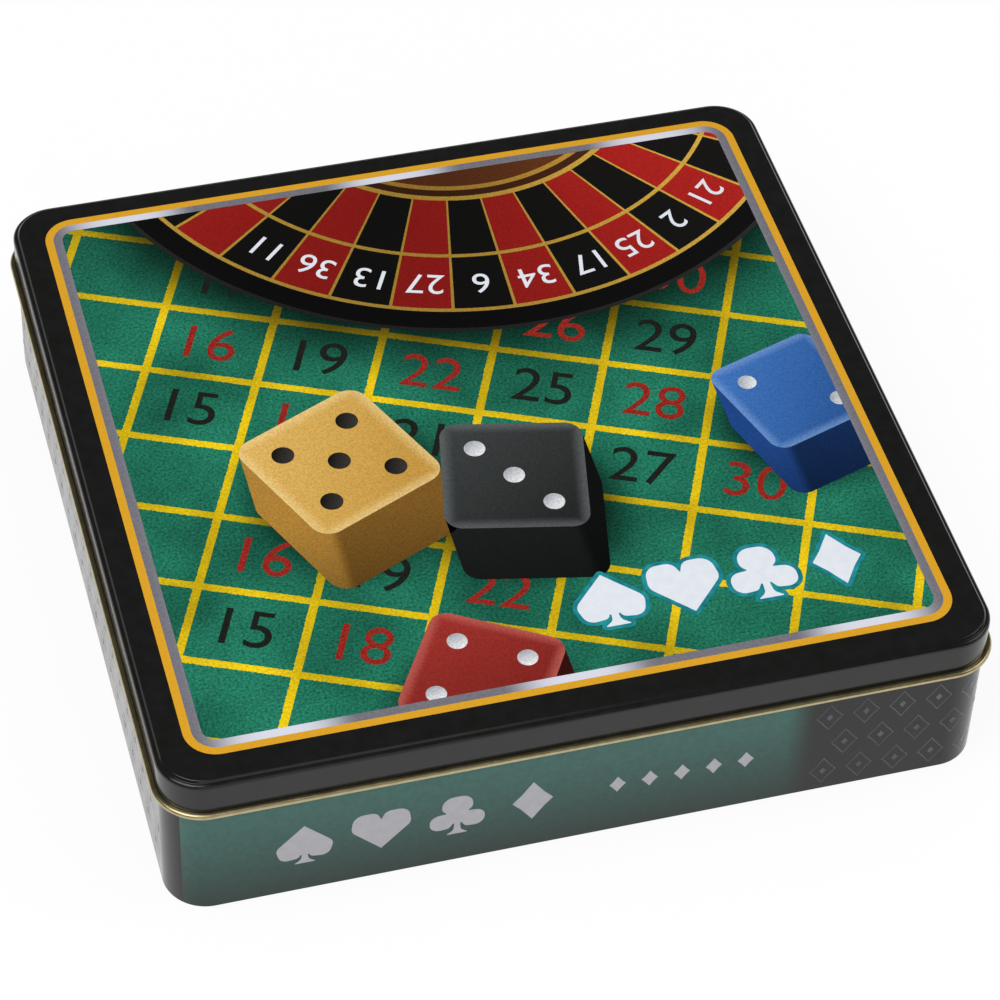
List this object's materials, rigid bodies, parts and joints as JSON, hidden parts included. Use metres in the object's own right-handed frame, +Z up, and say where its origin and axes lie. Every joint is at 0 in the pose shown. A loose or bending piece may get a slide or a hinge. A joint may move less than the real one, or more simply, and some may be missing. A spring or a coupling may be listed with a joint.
{
  "type": "drinking roulette game",
  "caption": "Square tin with a slip-on lid that holds a roulette wheel tray with shot glasses, chip stacks, a ball, a two-piece rake and a folded felt mat.",
  "frame": {"origin": "middle of the tin's footprint, on the surface that it stands on", "axes": "+Z up through the lid, -Y towards the front side, +X to the right seen from the front"},
  "size_m": [0.3344, 0.3344, 0.073],
  "materials": {
    "black_lacquer": "gloss lacquer on tinplate",
    "printed_tinplate": "printed and varnished tinplate",
    "gold_lacquer": "gold lacquer on tinplate",
    "black_foam": "die-cut foam",
    "green_felt": "felt with printed lines",
    "black_moulding": "gloss moulding",
    "bright_steel": "ground steel",
    "white_nylon": "moulded nylon",
    "gold_moulding": "gold-plated moulding",
    "plated_brass": "polished plating",
    "number_print": "printed ring",
    "ball_steel": "polished",
    "rake_wood": "black lacquered beech",
    "red_glass": "clear with a red enamel band",
    "black_glass": "clear with a black enamel band",
    "yellow_chip": "moulded",
    "black_chip": "moulded",
    "blue_chip": "moulded",
    "red_chip": "moulded"
  },
  "bodies": {
    "base": {"tin_wall": "printed_tinplate", "tin_bottom": "gold_lacquer", "insert": "black_foam"},
    "lid": {"lid": "black_lacquer"},
    "mat": {"game_mat": "green_felt"},
    "wheel": {"wheel_bowl": "black_moulding", "spindle": "bright_steel", "washer": "white_nylon"},
    "rotor": {"rotor": "gold_moulding", "fret_ring": "plated_brass", "number_ring": "number_print", "turret": "plated_brass"},
    "ball": {"ball": "ball_steel"},
    "rake_head": {"rake_head": "black_moulding"},
    "rake_handle": {"rake_handle": "rake_wood"},
    "glass_01": {"shot_glass_01": "red_glass"},
    "glass_02": {"shot_glass_02": "black_glass"},
    "glass_03": {"shot_glass_03": "red_glass"},
    "glass_04": {"shot_glass_04": "black_glass"},
    "glass_05": {"shot_glass_05": "red_glass"},
    "glass_06": {"shot_glass_06": "black_glass"},
    "glass_07": {"shot_glass_07": "red_glass"},
    "glass_08": {"shot_glass_08": "black_glass"},
    "glass_09": {"shot_glass_09": "red_glass"},
    "glass_10": {"shot_glass_10": "black_glass"},
    "glass_11": {"shot_glass_11": "red_glass"},
    "glass_12": {"shot_glass_12": "black_glass"},
    "glass_13": {"shot_glass_13": "red_glass"},
    "glass_14": {"shot_glass_14": "black_glass"},
    "glass_15": {"shot_glass_15": "red_glass"},
    "glass_16": {"shot_glass_16": "black_glass"},
    "chips_yellow": {"chips_yellow": "yellow_chip"},
    "chips_black": {"chips_black": "black_chip"},
    "chips_blue": {"chips_blue": "blue_chip"},
    "chips_red": {"chips_red": "red_chip"}
  },
  "joints": [
    {"name": "lid_lift", "type": "slide", "parent": "base", "child": "lid", "axis": [0, 0, 1], "range_m": [0, 0.42]},
    {"name": "mat_lift", "type": "slide", "parent": "base", "child": "mat", "axis": [0, 0, 1], "range_m": [0, 0.3]},
    {"name": "wheel_lift", "type": "slide", "parent": "base", "child": "wheel", "axis": [0, 0, 1], "range_m": [0, 0.11]},
    {"name": "glass_01_lift", "type": "slide", "parent": "wheel", "child": "glass_01", "axis": [0, 0, 1], "range_m": [0, 0.09]},
    {"name": "glass_02_lift", "type": "slide", "parent": "wheel", "child": "glass_02", "axis": [0, 0, 1], "range_m": [0, 0.09]},
    {"name": "glass_03_lift", "type": "slide", "parent": "wheel", "child": "glass_03", "axis": [0, 0, 1], "range_m": [0, 0.09]},
    {"name": "glass_04_lift", "type": "slide", "parent": "wheel", "child": "glass_04", "axis": [0, 0, 1], "range_m": [0, 0.09]},
    {"name": "glass_05_lift", "type": "slide", "parent": "wheel", "child": "glass_05", "axis": [0, 0, 1], "range_m": [0, 0.09]},
    {"name": "glass_06_lift", "type": "slide", "parent": "wheel", "child": "glass_06", "axis": [0, 0, 1], "range_m": [0, 0.09]},
    {"name": "glass_07_lift", "type": "slide", "parent": "wheel", "child": "glass_07", "axis": [0, 0, 1], "range_m": [0, 0.09]},
    {"name": "glass_08_lift", "type": "slide", "parent": "wheel", "child": "glass_08", "axis": [0, 0, 1], "range_m": [0, 0.09]},
    {"name": "glass_09_lift", "type": "slide", "parent": "wheel", "child": "glass_09", "axis": [0, 0, 1], "range_m": [0, 0.09]},
    {"name": "glass_10_lift", "type": "slide", "parent": "wheel", "child": "glass_10", "axis": [0, 0, 1], "range_m": [0, 0.09]},
    {"name": "glass_11_lift", "type": "slide", "parent": "wheel", "child": "glass_11", "axis": [0, 0, 1], "range_m": [0, 0.09]},
    {"name": "glass_12_lift", "type": "slide", "parent": "wheel", "child": "glass_12", "axis": [0, 0, 1], "range_m": [0, 0.09]},
    {"name": "glass_13_lift", "type": "slide", "parent": "wheel", "child": "glass_13", "axis": [0, 0, 1], "range_m": [0, 0.09]},
    {"name": "glass_14_lift", "type": "slide", "parent": "wheel", "child": "glass_14", "axis": [0, 0, 1], "range_m": [0, 0.09]},
    {"name": "glass_15_lift", "type": "slide", "parent": "wheel", "child": "glass_15", "axis": [0, 0, 1], "range_m": [0, 0.09]},
    {"name": "glass_16_lift", "type": "slide", "parent": "wheel", "child": "glass_16", "axis": [0, 0, 1], "range_m": [0, 0.09]},
    {"name": "chips_yellow_lift", "type": "slide", "parent": "base", "child": "chips_yellow", "axis": [0, 0, 1], "range_m": [0, 0.11]},
    {"name": "chips_black_lift", "type": "slide", "parent": "base", "child": "chips_black", "axis": [0, 0, 1], "range_m": [0, 0.11]},
    {"name": "chips_blue_lift", "type": "slide", "parent": "base", "child": "chips_blue", "axis": [0, 0, 1], "range_m": [0, 0.11]},
    {"name": "chips_red_lift", "type": "slide", "parent": "base", "child": "chips_red", "axis": [0, 0, 1], "range_m": [0, 0.11]},
    {"name": "rake_head_lift", "type": "slide", "parent": "base", "child": "rake_head", "axis": [0, 0, 1], "range_m": [0, 0.18]},
    {"name": "rake_handle_lift", "type": "slide", "parent": "base", "child": "rake_handle", "axis": [0, 0, 1], "range_m": [0, 0.18]},
    {"name": "rotor_spin", "type": "hinge", "parent": "wheel", "child": "rotor", "pos_m": [0, 0, 0.02], "axis": [0, 0, 1], "continuous": true},
    {"name": "ball_orbit", "type": "hinge", "parent": "wheel", "child": "ball", "pos_m": [0, 0, 0.0311], "axis": [0, 0, 1], "continuous": true}
  ],
  "couplings": [
    {"joint": "mat_lift", "follows": "lid_lift", "ratio": 0.7138},
    {"joint": "wheel_lift", "follows": "lid_lift", "ratio": 0.2614},
    {"joint": "glass_01_lift", "follows": "lid_lift", "ratio": 0.2138},
    {"joint": "glass_02_lift", "follows": "lid_lift", "ratio": 0.2138},
    {"joint": "glass_03_lift", "follows": "lid_lift", "ratio": 0.2138},
    {"joint": "glass_04_lift", "follows": "lid_lift", "ratio": 0.2138},
    {"joint": "glass_05_lift", "follows": "lid_lift", "ratio": 0.2138},
    {"joint": "glass_06_lift", "follows": "lid_lift", "ratio": 0.2138},
    {"joint": "glass_07_lift", "follows": "lid_lift", "ratio": 0.2138},
    {"joint": "glass_08_lift", "follows": "lid_lift", "ratio": 0.2138},
    {"joint": "glass_09_lift", "follows": "lid_lift", "ratio": 0.2138},
    {"joint": "glass_10_lift", "follows": "lid_lift", "ratio": 0.2138},
    {"joint": "glass_11_lift", "follows": "lid_lift", "ratio": 0.2138},
    {"joint": "glass_12_lift", "follows": "lid_lift", "ratio": 0.2138},
    {"joint": "glass_13_lift", "follows": "lid_lift", "ratio": 0.2138},
    {"joint": "glass_14_lift", "follows": "lid_lift", "ratio": 0.2138},
    {"joint": "glass_15_lift", "follows": "lid_lift", "ratio": 0.2138},
    {"joint": "glass_16_lift", "follows": "lid_lift", "ratio": 0.2138},
    {"joint": "chips_yellow_lift", "follows": "lid_lift", "ratio": 0.2614},
    {"joint": "chips_black_lift", "follows": "lid_lift", "ratio": 0.2614},
    {"joint": "chips_blue_lift", "follows": "lid_lift", "ratio": 0.2614},
    {"joint": "chips_red_lift", "follows": "lid_lift", "ratio": 0.2614},
    {"joint": "rake_head_lift", "follows": "lid_lift", "ratio": 0.4281},
    {"joint": "rake_handle_lift", "follows": "lid_lift", "ratio": 0.4281}
  ]
}
